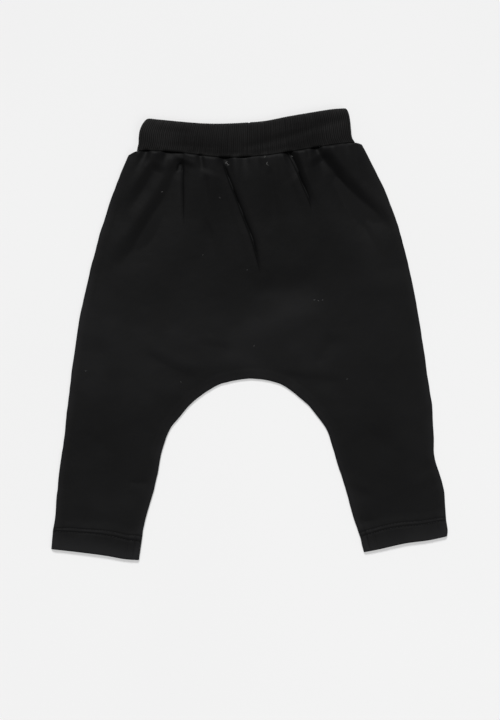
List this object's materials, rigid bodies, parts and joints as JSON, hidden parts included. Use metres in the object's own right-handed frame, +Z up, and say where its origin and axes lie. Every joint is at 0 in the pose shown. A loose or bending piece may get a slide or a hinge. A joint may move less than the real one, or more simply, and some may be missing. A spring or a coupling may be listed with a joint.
{
  "type": "track pants",
  "caption": "Small child's black track pants with a dropped crotch, a gathered seat under a folded rib waistband and stitched leg hems, laid flat with the back up.",
  "frame": {"origin": "middle of the garment's outline, on the surface it lies on", "axes": "+Z up from the surface, +Y from the hems toward the waist, +X to the right seen from above with the waist at the top"},
  "size_m": [0.396, 0.4508, 0.0084],
  "materials": {
    "cloth": "near-black sweatshirt knit, matt with a faint nap",
    "rib": "near-black rib knit, matt, slightly warmer than the cloth"
  },
  "bodies": {
    "root": {"front_panel": "cloth", "back_panel": "cloth", "waistband": "rib"}
  },
  "joints": []
}
